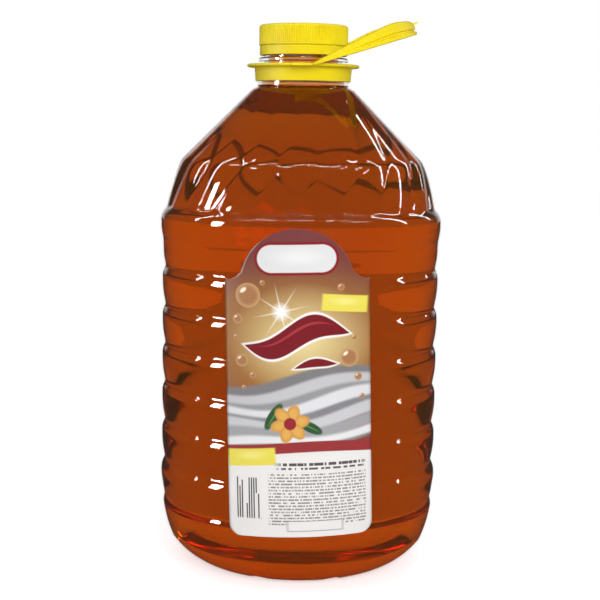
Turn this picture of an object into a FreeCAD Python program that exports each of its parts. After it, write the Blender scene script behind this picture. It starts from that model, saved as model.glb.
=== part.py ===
import FreeCAD, Part
import Sketcher
import math
import os

# Five-litre dish soap bottle: blown bottle, its filling, screw cap with liner,
# tamper band, carrying handle and front label.
# Origin: centre of the standing ring, on the surface the bottle stands on.
# +Z runs up the neck, -Y looks out of the front label, +X is where the handle leans.

doc = FreeCAD.newDocument("SoapBottle")
sheet = doc.addObject("Spreadsheet::Sheet", "Sizes")

SIZES = [
    # Blown bottle, from the surface it stands on. The radii of heel, belly, waist,
    # rim and shoulder are drawn in or swell out from the body's.
    ("body_radius", 82.3),
    ("wall", 0.5),
    ("foot_inner_radius", 42.0),
    ("foot_outer_radius", 50.0),
    ("push_up", 9.0),
    ("push_up_flat", 12.0),
    ("heel_curve", 45.0),
    ("heel_draw", 6.4),
    ("heel_radius", "=body_radius - heel_draw"),
    ("heel_height", 17.0),
    ("heel_upper_curve", 70.0),
    ("heel_top_draw", 1.1),
    ("heel_top_radius", "=body_radius - heel_top_draw"),
    ("heel_top_height", 36.0),
    ("base_rib_count", 8.0),
    ("base_rib_radius", 7.0),
    ("base_rib_sink", 3.4),
    ("belly_swell", 0.5),
    ("belly_radius", "=body_radius + belly_swell"),
    ("belly_height", 54.5),
    # Hoops: rounded notches round the body, one pitch apart
    ("groove_count", 7.0),
    ("groove_pitch", 23.04),
    ("groove_first_height", 40.1),
    ("groove_depth", 1.9),
    ("groove_flank", 3.5),
    ("groove_taper", 9.0),
    # Rim between the body and the shoulder
    ("waist_draw", 0.4),
    ("waist_radius", "=body_radius - waist_draw"),
    ("waist_height", 188.0),
    ("rim_swell", 0.9),
    ("rim_radius", "=body_radius + rim_swell"),
    ("rim_height", 201.0),
    ("rim_band", 4.0),
    ("ledge_curve", 9.5),
    ("ledge_draw", 6.2),
    ("ledge_radius", "=rim_radius - ledge_draw"),
    ("ledge_height", 215.0),
    # Shoulder: a cone that rounds over to the rim, swirled with soft lobes
    ("flare_radius", 30.4),
    ("flare_height", 282.6),
    ("cone_draw", 12.7),
    ("cone_radius", "=rim_radius - cone_draw"),
    ("cone_height", 242.5),
    ("bend_draw", 8.2),
    ("bend_radius", "=rim_radius - bend_draw"),
    ("bend_height", 238.0),
    ("shoulder_foot_draw", 1.4),
    ("shoulder_foot_radius", "=rim_radius - shoulder_foot_draw"),
    ("shoulder_foot_height", 205.0),
    ("lobe_count", 20.0),
    ("lobe_depth", 1.1),
    ("lobe_turn", 24.0),
    ("lobe_phase", -72.6),
    ("form_overlap", 1.5),
    # Neck finish
    ("neck_foot_radius", 26.8),
    ("neck_foot_bottom", 284.6),
    ("neck_foot_top", 288.0),
    ("neck_radius", 22.9),
    ("bore_radius", 20.75),
    ("neck_top", 316.8),
    ("finish_radius", 22.5),
    ("ring_radius", 26.25),
    ("ring_height", 298.5),
    ("ring_thickness", 2.4),
    ("bead_radius", 24.2),
    ("bead_height", 303.9),
    ("bead_width", 2.0),
    ("bead_flank", 0.3),
    ("bead_crown", 0.6),
    ("ring_edge", 0.3),
    ("lip_edge", 0.4),
    # Filling
    ("fill_height", 303.4),
    ("film", 0.05),
    # Cap, liner and tamper band
    ("cap_radius", 26.1),
    ("cap_bottom", 307.9),
    ("cap_roof", 1.6),
    ("cap_edge", 1.8),
    ("cap_clearance", 0.4),
    ("cap_lip", 1.0),
    ("knurl_count", 120.0),
    ("knurl_depth", 0.35),
    ("knurl_width", 0.8),
    ("liner_thickness", 1.35),
    ("liner_clearance", 0.4),
    ("liner_play", 0.05),
    ("seal_gap", 0.1),
    ("band_radius", 25.65),
    ("band_bottom", 302.3),
    ("band_slit", 0.2),
    ("band_play", 0.1),
    ("hook_height", 1.1),
    ("hook_gap", 0.4),
    # Handle: collar snapped under the neck ring, bail on two thin hinges
    ("collar_gap", 0.4),
    ("flange_radius", 33.0),
    ("flange_thickness", 1.8),
    ("flange_drop", 1.4),
    ("skirt_top_radius", 28.6),
    ("skirt_bottom_radius", 28.0),
    ("skirt_bottom", 287.2),
    ("skirt_wall", 0.9),
    ("handle_swivel", 5.9),
    ("hinge_along", 1.8),
    ("hinge_slit", 0.3),
    ("hinge_web", 0.4),
    ("root_length", 12.0),
    ("root_height", 1.6),
    ("arm_gap", 0.3),
    ("arm_width", 3.0),
    ("bail_reach", 66.5),
    ("bail_corner", 28.0),
    ("bail_crown_along", 49.0),
    ("bail_crown", 6.0),
    ("bail_end_top", 2.2),
    ("bail_end_bottom", 5.6),
    ("bail_rest_angle", 21.5),
    ("collar_fillet", 0.8),
    ("channel_depth", 0.9),
    ("channel_start", 30.0),
    ("channel_low", 3.6),
    ("channel_high", 2.2),
    ("nub_length", 4.6),
    ("nub_width", 5.0),
    ("nub_height", 1.8),
    # Front label, laid over the hoops
    ("label_thickness", 0.15),
    ("label_gap", 0.1),
    ("label_half_width", 39.8),
    ("label_bottom", 34.9),
    ("label_shoulder", 178.3),
    ("label_top", 206.4),
    ("label_dome_radius", 32.0),
    ("label_dome_half_width", 31.0),
    ("label_cove_half_width", 38.4),
    ("label_cove", 9.0),
    ("label_corner", 6.5),
    ("label_skew", 1.7),
]

for row, (alias, number) in enumerate(SIZES, start=1):
    sheet.set("A%d" % row, alias)
    sheet.set("B%d" % row, str(number))
    sheet.setAlias("B%d" % row, alias)
doc.recompute()


def size(formula):
    """Value of a formula of the sheet's names."""
    result = sheet.evalExpression(formula)
    return float(getattr(result, "Value", result))


def bound(formula):
    """The same formula, written for an object outside the sheet."""
    words = []
    name = ""
    for letter in formula + " ":
        if letter.isalpha() or letter == "_":
            name += letter
            continue
        if name:
            is_size = any(name == alias for alias, number in SIZES)
            words.append("Sizes." + name if is_size else name)
            name = ""
        words.append(letter)
    return "".join(words).strip()


def new_body(label):
    body = doc.addObject("PartDesign::Body", label)
    body.Label = label
    return body


def plane_of(body, role):
    for feature in body.Origin.OriginFeatures:
        if feature.Role == role:
            return feature
    raise RuntimeError("no plane " + role)


def draw(body, name, role, corners, curves=None, offset=None):
    """Closed outline on a plane of the body.

    corners are (x, y) formulas; curves maps the number of a side to its
    (radius, bulge), where bulge 1 curves to the right of the way along the
    side and -1 to the left, so an arc with bulge 1 runs anticlockwise. Every
    corner and radius is bound to the sheet.
    """
    curves = curves or {}
    sketch = body.newObject("Sketcher::SketchObject", name)
    sketch.AttachmentSupport = (plane_of(body, role), [""])
    sketch.MapMode = "FlatFace"
    if offset:
        sketch.setExpression("AttachmentOffset.Base.z", bound(offset))
    outline(sketch, corners, curves)
    return sketch


def outline(sketch, corners, curves):
    first = sketch.GeometryCount
    spots = [FreeCAD.Vector(size(x), size(y), 0) for x, y in corners]
    count = len(spots)
    ends = []
    for side in range(count):
        start = spots[side]
        end = spots[(side + 1) % count]
        if side in curves:
            radius, bulge = curves[side]
            half = (end - start) * 0.5
            rise = math.sqrt(max(size(radius) ** 2 - half.Length ** 2, 0))
            right = FreeCAD.Vector(half.y, -half.x, 0).normalize() * bulge
            middle = start + half + right * (size(radius) - rise)
            way = (start, middle, end) if bulge > 0 else (end, middle, start)
            sketch.addGeometry(Part.Arc(*way), False)
            ends.append((1, 2) if bulge > 0 else (2, 1))
        else:
            sketch.addGeometry(Part.LineSegment(start, end), False)
            ends.append((1, 2))
    for side in range(count):
        after = (side + 1) % count
        sketch.addConstraint(Sketcher.Constraint("Coincident", first + side, ends[side][1],
                                                 first + after, ends[after][0]))
    for side, (x, y) in enumerate(corners):
        for kind, formula in (("DistanceX", x), ("DistanceY", y)):
            number = sketch.addConstraint(
                Sketcher.Constraint(kind, -1, 1, first + side, ends[side][0], size(formula)))
            sketch.setExpression("Constraints[%d]" % number, bound(formula))
    for side, (radius, bulge) in curves.items():
        number = sketch.addConstraint(Sketcher.Constraint("Radius", first + side, size(radius)))
        sketch.setExpression("Constraints[%d]" % number, bound(radius))


def revolve(body, sketch, name):
    feature = body.newObject("PartDesign::Revolution", name)
    feature.Profile = sketch
    feature.ReferenceAxis = (sketch, ["V_Axis"])
    feature.Angle = 360.0
    body.Tip = feature
    return feature


def pad(body, sketch, name, length, both_ways=False):
    feature = body.newObject("PartDesign::Pad", name)
    feature.Profile = sketch
    feature.setExpression("Length", bound(length))
    if both_ways:
        feature.SideType = "Symmetric"
    body.Tip = feature
    return feature


def boolean(kind, name, base, tool):
    feature = doc.addObject("Part::" + kind, name)
    feature.Base = base
    feature.Tool = tool
    feature.Label = name
    return feature


def fuse(name, *shapes):
    feature = doc.addObject("Part::MultiFuse", name)
    feature.Shapes = list(shapes)
    feature.Label = name
    return feature


def computed(name, shape):
    feature = doc.addObject("Part::Feature", name)
    feature.Shape = shape
    feature.Label = name
    return feature


# Blown bottle: one skin, drawn as an outer form less the same form drawn one
# wall further in. The filling is that form again, one film further in.

def lower_form(label, inset):
    """Base, heel, hooped body and rim, turned about the axis."""
    body = new_body(label)
    corners = [
        ("0", "push_up + " + inset),
        ("push_up_flat", "push_up + " + inset),
        ("foot_inner_radius", inset),
        ("foot_outer_radius", inset),
        ("heel_radius - %s * 0.72" % inset, "heel_height + %s * 0.69" % inset),
        ("heel_top_radius - " + inset, "heel_top_height"),
        ("belly_radius - " + inset, "belly_height"),
        ("body_radius - " + inset, "belly_height + groove_pitch * 0.5"),
        ("body_radius - " + inset, "waist_height - groove_pitch * 0.25"),
        ("waist_radius - " + inset, "waist_height"),
        ("waist_radius - " + inset, "waist_height + groove_pitch * 0.25"),
        ("rim_radius - " + inset, "rim_height"),
        ("rim_radius - " + inset, "rim_height + rim_band"),
        ("ledge_radius - " + inset, "ledge_height - " + inset),
        ("0", "ledge_height - " + inset),
    ]
    curves = {
        3: ("heel_curve", 1),
        4: ("heel_upper_curve", 1),
        12: ("ledge_curve", 1),
    }
    turned = revolve(body, draw(body, label + "_outline", "XZ_Plane", corners, curves),
                     label + "_turned")
    notch = [
        ("body_radius - %s - groove_depth" % inset, "groove_first_height"),
        ("body_radius - %s + groove_depth" % inset,
         "groove_first_height + 2 * groove_taper"),
        ("body_radius - %s + groove_depth" % inset,
         "groove_first_height - 2 * groove_flank"),
    ]
    hoop = body.newObject("PartDesign::Groove", label + "_hoop")
    hoop.Profile = draw(body, label + "_notch", "XZ_Plane", notch)
    hoop.ReferenceAxis = (hoop.Profile[0], ["V_Axis"])
    hoop.Angle = 360.0
    body.Tip = hoop
    doc.recompute()
    hoops = body.newObject("PartDesign::LinearPattern", label + "_hoops")
    hoops.Originals = [hoop]
    hoops.Direction = (hoop.Profile[0], ["V_Axis"])
    hoops.setExpression("Occurrences", bound("groove_count"))
    hoops.Mode = "Spacing"
    hoops.setExpression("Offset", bound("groove_pitch"))
    body.Tip = hoops
    return body


def shoulder_line(inset):
    """Points down the shoulder from the neck, each set in along its normal."""
    line = []
    flare = FreeCAD.Vector(size("flare_radius"), 0, size("flare_height"))
    cone = FreeCAD.Vector(size("cone_radius"), 0, size("cone_height"))
    bend = FreeCAD.Vector(size("bend_radius"), 0, size("bend_height"))
    foot = FreeCAD.Vector(size("shoulder_foot_radius"), 0, size("shoulder_foot_height"))
    slope = (cone - flare).normalize()
    for share in (0.0, 0.25, 0.5, 0.75):
        line.append((flare + (cone - flare) * share, slope))
    for share in (0.0, 0.25, 0.5, 0.75, 1.0):
        spot = cone * (1 - share) ** 2 + bend * 2 * share * (1 - share) + foot * share ** 2
        way = (bend - cone) * (1 - share) + (foot - bend) * share
        line.append((spot, way.normalize()))
    set_in = []
    for spot, way in line:
        normal = FreeCAD.Vector(-way.z, 0, way.x)
        set_in.append(spot - normal * inset)
    return set_in


def swirl_form(label, inset):
    """Shoulder with soft lobes that lag clockwise on the way down."""
    count = int(size("lobe_count"))
    flare_height = size("flare_height")
    run = flare_height - size("shoulder_foot_height")
    cone_run = flare_height - size("cone_height")
    rings = []
    for spot in shoulder_line(inset):
        down = (flare_height - spot.z) / run
        share = min(1.0, max(0.0, (flare_height - spot.z) / cone_run))
        depth = size("lobe_depth") * share ** 2
        turn = size("lobe_phase") - size("lobe_turn") * 0.5 * (down + down * down)
        edges = []
        for lobe in range(count):
            angles = [math.radians(turn + 360.0 * (lobe + share) / count)
                      for share in (0.0, 0.5, 1.0)]
            reaches = [spot.x - depth, spot.x, spot.x - depth]
            marks = [FreeCAD.Vector(reach * math.cos(angle), reach * math.sin(angle), spot.z)
                     for reach, angle in zip(reaches, angles)]
            edges.append(Part.Arc(*marks).toShape())
        rings.append(Part.Wire(edges))
    return computed(label, Part.makeLoft(rings, True, False))


def base_ribs(label, inset):
    """Radial channels pressed up into the base, between the feet."""
    radius = size("base_rib_radius") + inset
    count = int(size("base_rib_count"))
    depth = FreeCAD.Vector(0, 0, size("base_rib_sink") - size("base_rib_radius"))
    length = size("heel_radius")
    ribs = []
    for rib in range(count):
        angle = 2 * math.pi * (rib + 0.5) / count
        way = FreeCAD.Vector(math.cos(angle), math.sin(angle), 0)
        ribs.append(Part.makeCylinder(radius, length, depth, way))
    return computed(label, ribs[0].multiFuse(ribs[1:]))


def neck_form(label, corners):
    body = new_body(label)
    revolve(body, draw(body, label + "_outline", "XZ_Plane", corners), label + "_turned")
    return body


CONE_LENGTH = "sqrt((cone_radius - flare_radius) ^ 2 + (flare_height - cone_height) ^ 2)"
neck_outer = neck_form("neck_outer", [
    ("0", "flare_height - form_overlap"),
    ("flare_radius - 2 * form_overlap", "flare_height - form_overlap"),
    ("flare_radius", "flare_height"),
    ("neck_foot_radius", "neck_foot_bottom"),
    ("neck_foot_radius", "neck_foot_top"),
    ("neck_radius", "neck_foot_top + neck_foot_radius - neck_radius"),
    ("neck_radius", "ring_height"),
    ("ring_radius - ring_edge", "ring_height"),
    ("ring_radius", "ring_height + ring_edge"),
    ("ring_radius", "ring_height + ring_thickness - ring_edge"),
    ("ring_radius - ring_edge", "ring_height + ring_thickness"),
    ("finish_radius", "ring_height + ring_thickness"),
    ("finish_radius", "bead_height"),
    ("bead_radius", "bead_height + bead_flank"),
    ("bead_radius", "bead_height + bead_flank + bead_crown"),
    ("finish_radius", "bead_height + bead_width"),
    ("finish_radius", "neck_top - lip_edge"),
    ("finish_radius - lip_edge", "neck_top"),
    ("0", "neck_top"),
])


def bore_line(film, top):
    """Outline of the neck's bore, one film in from the skin, up to a height."""
    inset = "(wall + %s)" % film
    flare = "(flare_radius - %s * (flare_height - cone_height) / %s)" % (inset, CONE_LENGTH)
    height = "(flare_height - %s * (cone_radius - flare_radius) / %s)" % (inset, CONE_LENGTH)
    thickness = "(neck_radius - bore_radius + %s)" % film
    foot = "(neck_foot_radius - %s)" % thickness
    corner = "%s * (sqrt(2) - 1)" % thickness
    return [
        ("0", height + " - form_overlap"),
        (flare + " - 2 * form_overlap", height + " - form_overlap"),
        (flare, height),
        (foot, "neck_foot_bottom - " + inset),
        (foot, "neck_foot_top - " + corner),
        ("bore_radius - " + film,
         "neck_foot_top + neck_foot_radius - neck_radius - " + corner),
        ("bore_radius - " + film, top),
        ("0", top),
    ]


neck_bore = neck_form("neck_bore", bore_line("0", "neck_top + seal_gap"))

skin_outer = boolean(
    "Cut", "skin_outer",
    fuse("skin_outer_sum", lower_form("lower_outer", "0"), swirl_form("swirl_outer", 0.0),
         neck_outer),
    base_ribs("ribs_outer", 0.0))
skin_inner = boolean(
    "Cut", "skin_inner",
    fuse("skin_inner_sum", lower_form("lower_inner", "wall"),
         swirl_form("swirl_inner", size("wall")), neck_bore),
    base_ribs("ribs_inner", size("wall")))
bottle = boolean("Cut", "bottle", skin_outer, skin_inner)


# Filling: liquid soap up into the neck, one film inside the skin.

filling_inset = size("wall + film")
detergent = boolean(
    "Cut", "detergent",
    fuse("filling_sum", lower_form("lower_filling", "(wall + film)"),
         swirl_form("swirl_filling", filling_inset),
         neck_form("neck_filling", bore_line("film", "fill_height"))),
    base_ribs("ribs_filling", filling_inset))


# Screw cap: a moulded cup with fine knurls, moulded in yellow.

cap = new_body("cap")
CAP_INNER = "(bead_radius + cap_clearance)"
CAP_CEILING = "(neck_top + seal_gap + liner_thickness + liner_play)"
CAP_TOP = "(" + CAP_CEILING + " + cap_roof)"
revolve(cap, draw(cap, "cap_outline", "XZ_Plane", [
    ("0", CAP_CEILING),
    (CAP_INNER, CAP_CEILING),
    (CAP_INNER, "cap_bottom"),
    ("cap_radius", "cap_bottom"),
    ("cap_radius", CAP_TOP + " - cap_edge"),
    ("cap_radius - cap_edge", CAP_TOP),
    ("0", CAP_TOP),
], {4: ("cap_edge", 1)}), "cap_turned")
knurl = cap.newObject("PartDesign::Pocket", "knurl")
knurl.Profile = draw(cap, "knurl_outline", "XY_Plane", [
    ("cap_radius - knurl_depth", "0"),
    ("cap_radius + knurl_depth", "knurl_width"),
    ("cap_radius + knurl_depth", "-knurl_width"),
], None, "cap_bottom + cap_lip")
knurl.setExpression("Length", bound(CAP_TOP + " - cap_edge * 0.8 - cap_bottom - cap_lip"))
knurl.Reversed = True
cap.Tip = knurl
doc.recompute()
knurls = cap.newObject("PartDesign::PolarPattern", "knurls")
knurls.Originals = [knurl]
knurls.Axis = (knurl.Profile[0], ["N_Axis"])
knurls.Angle = 360.0
knurls.setExpression("Occurrences", bound("knurl_count"))
cap.Tip = knurls


# Liner: a foam disc pressed into the cap, which seals on the neck's rim.

cap_liner = new_body("cap_liner")
revolve(cap_liner, draw(cap_liner, "liner_outline", "XZ_Plane", [
    ("0", "neck_top + seal_gap"),
    (CAP_INNER + " - liner_clearance", "neck_top + seal_gap"),
    (CAP_INNER + " - liner_clearance", "neck_top + seal_gap + liner_thickness"),
    ("0", "neck_top + seal_gap + liner_thickness"),
]), "liner_turned")


# Tamper band: the ring torn off the cap at first opening, hooked under the bead.

tamper_band = new_body("tamper_band")
revolve(tamper_band, draw(tamper_band, "band_outline", "XZ_Plane", [
    (CAP_INNER, "cap_bottom - band_slit"),
    (CAP_INNER, "bead_height - band_play"),
    ("finish_radius + hook_gap", "bead_height - band_play"),
    ("finish_radius + hook_gap", "bead_height - band_play - hook_height * 0.5"),
    (CAP_INNER, "bead_height - band_play - hook_height"),
    (CAP_INNER, "band_bottom"),
    ("band_radius", "band_bottom"),
    ("band_radius", "cap_bottom - band_slit"),
]), "band_turned")


# Handle collar: a flange and skirt that snap over the neck ring and turn on the neck.

handle_collar = new_body("handle_collar")
FLANGE_TOP = "(ring_height - flange_drop)"
FLANGE_BOTTOM = "(ring_height - flange_drop - flange_thickness)"
revolve(handle_collar, draw(handle_collar, "collar_outline", "XZ_Plane", [
    ("neck_radius + collar_gap", FLANGE_TOP),
    ("neck_radius + collar_gap", FLANGE_BOTTOM),
    ("skirt_top_radius - skirt_wall", FLANGE_BOTTOM),
    ("skirt_bottom_radius - skirt_wall", "skirt_bottom"),
    ("skirt_bottom_radius", "skirt_bottom"),
    ("skirt_top_radius", FLANGE_BOTTOM + " - collar_fillet"),
    ("skirt_top_radius + collar_fillet", FLANGE_BOTTOM),
    ("flange_radius", FLANGE_BOTTOM),
    ("flange_radius", FLANGE_TOP),
], {5: ("collar_fillet", -1)}), "collar_turned")
HINGE_HEIGHT = "(ring_height - flange_drop - flange_thickness * 0.5)"
ARM_INNER = "(flange_radius + arm_gap)"
ARM_OUTER = "(flange_radius + arm_gap + arm_width)"
root_outline = draw(handle_collar, "root_outline", "XZ_Plane", [
    ("hinge_along - hinge_slit", HINGE_HEIGHT + " - hinge_web * 0.5"),
    ("hinge_along - hinge_slit", HINGE_HEIGHT + " + hinge_web * 0.5"),
    ("hinge_along - hinge_slit - (root_height - hinge_web) * 0.5",
     HINGE_HEIGHT + " + root_height * 0.5"),
    ("hinge_along - root_length", HINGE_HEIGHT + " + root_height * 0.5"),
    ("hinge_along - root_length", HINGE_HEIGHT + " - root_height * 0.5"),
    ("hinge_along - hinge_slit - (root_height - hinge_web) * 0.5",
     HINGE_HEIGHT + " - root_height * 0.5"),
], None, ARM_OUTER + " - arm_width - 2 * flange_thickness")
root = pad(handle_collar, root_outline, "root", "arm_width + 2 * flange_thickness")
doc.recompute()
roots = handle_collar.newObject("PartDesign::Mirrored", "roots")
roots.Originals = [root]
roots.MirrorPlane = (plane_of(handle_collar, "XZ_Plane"), [""])
handle_collar.Tip = roots
handle_collar.setExpression("Placement.Rotation.Angle", bound("handle_swivel"))


# Handle bail: one loop of channel section, drawn flat as it was moulded, with its
# origin on the hinge line, then swung up by the angle at which the bottle carries it.

bail_plan = new_body("bail_plan")
BAIL_HALF = "bail_end_bottom * 2"
pad(bail_plan, draw(bail_plan, "bail_outer_outline", "XY_Plane", [
    ("hinge_slit", "-" + ARM_OUTER),
    ("bail_reach - bail_corner", "-" + ARM_OUTER),
    ("bail_reach", "bail_corner - " + ARM_OUTER),
    ("bail_reach", ARM_OUTER + " - bail_corner"),
    ("bail_reach - bail_corner", ARM_OUTER),
    ("hinge_slit", ARM_OUTER),
], {1: ("bail_corner", 1), 3: ("bail_corner", 1)}), "bail_slab", BAIL_HALF + " * 2", True)
finger_gap = bail_plan.newObject("PartDesign::Pocket", "finger_gap")
finger_gap.Profile = draw(bail_plan, "bail_inner_outline", "XY_Plane", [
    ("-arm_width", "-" + ARM_INNER),
    ("bail_reach - bail_corner", "-" + ARM_INNER),
    ("bail_reach - arm_width", "bail_corner - " + ARM_OUTER),
    ("bail_reach - arm_width", ARM_OUTER + " - bail_corner"),
    ("bail_reach - bail_corner", ARM_INNER),
    ("-arm_width", ARM_INNER),
], {1: ("bail_corner - arm_width", 1), 3: ("bail_corner - arm_width", 1)})
finger_gap.SideType = "Symmetric"
finger_gap.setExpression("Length", bound(BAIL_HALF + " * 3"))
bail_plan.Tip = finger_gap

bail_side = new_body("bail_side")
pad(bail_side, draw(bail_side, "bail_side_outline", "XZ_Plane", [
    ("hinge_slit", "-hinge_web * 0.5"),
    ("hinge_slit + (root_height - hinge_web) * 0.5", "-root_height * 0.5"),
    ("bail_reach + arm_width", "-bail_end_bottom"),
    ("bail_reach + arm_width", "bail_end_top"),
    ("bail_reach", "bail_end_top"),
    ("bail_crown_along", "bail_crown"),
    ("hinge_slit + (root_height - hinge_web) * 0.5", "root_height * 0.5"),
    ("hinge_slit", "hinge_web * 0.5"),
]), "bail_wedge", ARM_OUTER + " * 3", True)
bail_blank = boolean("Common", "bail_blank", bail_plan, bail_side)

channel_side = new_body("channel_side")
pad(channel_side, draw(channel_side, "channel_outline", "XZ_Plane", [
    ("channel_start", "-channel_high"),
    ("bail_reach + arm_width", "-channel_low"),
    ("bail_reach + arm_width", "-channel_high"),
]), "channel_wedge", ARM_OUTER + " * 3", True)
channel_core = new_body("channel_core")
pad(channel_core, draw(channel_core, "channel_core_outline", "XY_Plane", [
    ("-arm_width", "channel_depth - " + ARM_OUTER),
    ("bail_reach - bail_corner", "channel_depth - " + ARM_OUTER),
    ("bail_reach - channel_depth", "bail_corner - " + ARM_OUTER),
    ("bail_reach - channel_depth", ARM_OUTER + " - bail_corner"),
    ("bail_reach - bail_corner", ARM_OUTER + " - channel_depth"),
    ("-arm_width", ARM_OUTER + " - channel_depth"),
], {1: ("bail_corner - channel_depth", 1), 3: ("bail_corner - channel_depth", 1)}),
    "channel_slab", BAIL_HALF + " * 3", True)
bail_channel = boolean("Cut", "bail_channel", channel_side, channel_core)

nub = doc.addObject("Part::Box", "nub")
nub.setExpression("Length", bound("nub_length + arm_width * 0.5"))
nub.setExpression("Width", bound("nub_width"))
nub.setExpression("Height", bound("nub_height"))
nub.setExpression("Placement.Base.x", bound("bail_reach - arm_width * 0.5"))
nub.setExpression("Placement.Base.y", bound("nub_width * -0.5"))
nub.setExpression("Placement.Base.z", bound("bail_end_top - nub_height * 1.2"))
handle_bail = fuse("handle_bail", boolean("Cut", "bail_loop", bail_blank, bail_channel), nub)
swivel = FreeCAD.Placement(
    FreeCAD.Vector(), FreeCAD.Rotation(FreeCAD.Vector(0, 0, 1), size("handle_swivel")))
swing = FreeCAD.Placement(
    FreeCAD.Vector(size("hinge_along"), 0, size(HINGE_HEIGHT)),
    FreeCAD.Rotation(FreeCAD.Vector(0, 1, 0), -size("bail_rest_angle")))
handle_bail.Placement = swivel * swing


# Front label: printed film cut with a domed top, laid over the hoops.

label_film = new_body("label_film")
LABEL_BODY = "(body_radius + label_gap)"
label_line = [
    ("heel_top_radius + label_gap", "label_bottom"),
    ("belly_radius + label_gap", "belly_height - groove_flank"),
    ("belly_radius + label_gap", "belly_height + groove_flank"),
    (LABEL_BODY, "belly_height + groove_pitch * 0.5"),
    (LABEL_BODY, "waist_height + groove_pitch * 0.1"),
    ("rim_radius + label_gap", "rim_height"),
    ("rim_radius + label_gap", "label_top + label_thickness"),
]
outside = [(reach + " + label_thickness", height) for reach, height in reversed(label_line)]
revolve(label_film, draw(label_film, "label_film_outline", "XZ_Plane", label_line + outside),
        "label_film_turned")
label_cut = new_body("label_cut")
DOME_RISE = ("(label_dome_radius - sqrt(label_dome_radius ^ 2 - label_dome_half_width ^ 2))")
LABEL_FOOT = "-(label_top - label_bottom) * 0.5"
LABEL_HEAD = "(label_top - label_bottom) * 0.5"
pad(label_cut, draw(label_cut, "label_cut_outline", "XZ_Plane", [
    ("label_corner - label_half_width", LABEL_FOOT),
    ("label_half_width - label_corner", LABEL_FOOT),
    ("label_half_width", LABEL_FOOT + " + label_corner"),
    ("label_half_width", LABEL_HEAD + " - label_top + label_shoulder"),
    ("label_cove_half_width", LABEL_HEAD + " - label_top + label_shoulder"),
    ("label_dome_half_width", LABEL_HEAD + " - " + DOME_RISE),
    ("-label_dome_half_width", LABEL_HEAD + " - " + DOME_RISE),
    ("-label_cove_half_width", LABEL_HEAD + " - label_top + label_shoulder"),
    ("-label_half_width", LABEL_HEAD + " - label_top + label_shoulder"),
    ("-label_half_width", LABEL_FOOT + " + label_corner"),
], {
    1: ("label_corner", 1),
    4: ("label_cove", -1),
    5: ("label_dome_radius", 1),
    6: ("label_cove", -1),
    9: ("label_corner", 1),
}), "label_cut_slab", "2 * body_radius")
label_cut.Placement = FreeCAD.Placement(
    FreeCAD.Vector(0, 0, size("(label_top + label_bottom) * 0.5")),
    FreeCAD.Rotation(FreeCAD.Vector(0, 1, 0), -size("label_skew")))
front_label = boolean("Common", "front_label", label_film, label_cut)


doc.recompute()
PIECES = [bottle, detergent, cap, cap_liner, tamper_band, handle_collar, handle_bail,
          front_label]
for item in doc.Objects:
    if "Invalid" in item.State or "Error" in item.State:
        raise RuntimeError("%s failed: %s" % (item.Label, item.State))
for piece in PIECES:
    if piece.Shape.isNull() or not piece.Shape.isValid():
        raise RuntimeError(piece.Label + " has no valid shape")
os.makedirs("parts", exist_ok=True)
for piece in PIECES:
    piece.Shape.exportStep("parts/%s.step" % piece.Label)
    box = piece.Shape.BoundBox
    print("%-14s solids %d volume %.1f  x %.2f %.2f  y %.2f %.2f  z %.2f %.2f" % (
        piece.Label, len(piece.Shape.Solids), piece.Shape.Volume, box.XMin, box.XMax,
        box.YMin, box.YMax, box.ZMin, box.ZMax))
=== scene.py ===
import math

import bmesh
import bpy
from mathutils import Matrix, Vector


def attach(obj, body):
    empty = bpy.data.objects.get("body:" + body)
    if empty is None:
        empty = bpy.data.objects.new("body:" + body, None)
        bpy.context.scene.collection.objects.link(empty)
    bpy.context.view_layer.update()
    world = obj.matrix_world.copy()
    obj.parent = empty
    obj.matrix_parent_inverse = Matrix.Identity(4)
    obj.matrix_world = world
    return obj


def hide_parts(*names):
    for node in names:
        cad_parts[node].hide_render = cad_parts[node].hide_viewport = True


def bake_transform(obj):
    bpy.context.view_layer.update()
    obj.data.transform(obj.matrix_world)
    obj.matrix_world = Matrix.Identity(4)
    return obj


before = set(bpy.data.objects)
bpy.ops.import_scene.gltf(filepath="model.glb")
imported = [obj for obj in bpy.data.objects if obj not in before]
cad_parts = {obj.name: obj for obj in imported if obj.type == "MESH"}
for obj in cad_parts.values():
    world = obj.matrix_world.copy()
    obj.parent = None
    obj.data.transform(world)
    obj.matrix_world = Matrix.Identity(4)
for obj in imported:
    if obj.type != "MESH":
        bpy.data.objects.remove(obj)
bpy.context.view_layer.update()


# Bottle skin
# Stretch-blown PET, half a millimetre thick and clear, with hoops round the body
# and twenty soft lobes that swirl down the shoulder. Blown in one with the neck.

MM = 0.001
WALL = 0.5
COLUMNS = 200
PUSH_UP = 9.0
PUSH_UP_FLAT = 12.0
FOOT_INNER = 42.0
FOOT_OUTER = 50.0
HEEL = ((50.0, 0.0), (75.9, 17.0), 45.0)
HEEL_TOP = ((75.9, 17.0), (81.2, 36.0), 70.0)
BODY_LINE = [
    (36.0, 81.2), (54.5, 82.8), (66.0, 82.3), (182.2, 82.3),
    (188.0, 81.9), (193.8, 81.9), (201.0, 83.2), (205.0, 83.2),
]
BODY_ROUNDING = 1.6
BODY_RADIUS = 82.3
GROOVES = [40.1 + 23.04 * number for number in range(7)]
GROOVE_DEPTH = 1.9
GROOVE_FLANK = 3.5
GROOVE_TAPER = 9.0
GROOVE_ROWS = (-5.2, -4.2, -3.4, -2.7, -2.0, -1.4, -0.8, -0.3, 0.2, 0.8,
               1.6, 2.6, 3.8, 5.2, 6.8, 8.6, 10.6, 13.2, 15.4)
RIM_TOP = 205.0
LEDGE = ((83.2, 205.0), (77.0, 215.0), 9.5)
FLARE = (30.4, 282.6)
CONE = (70.5, 242.5)
BEND = (75.0, 238.0)
FOOT = (81.8, 205.0)
LOBES = 20
LOBE_DEPTH = 1.5
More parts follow.
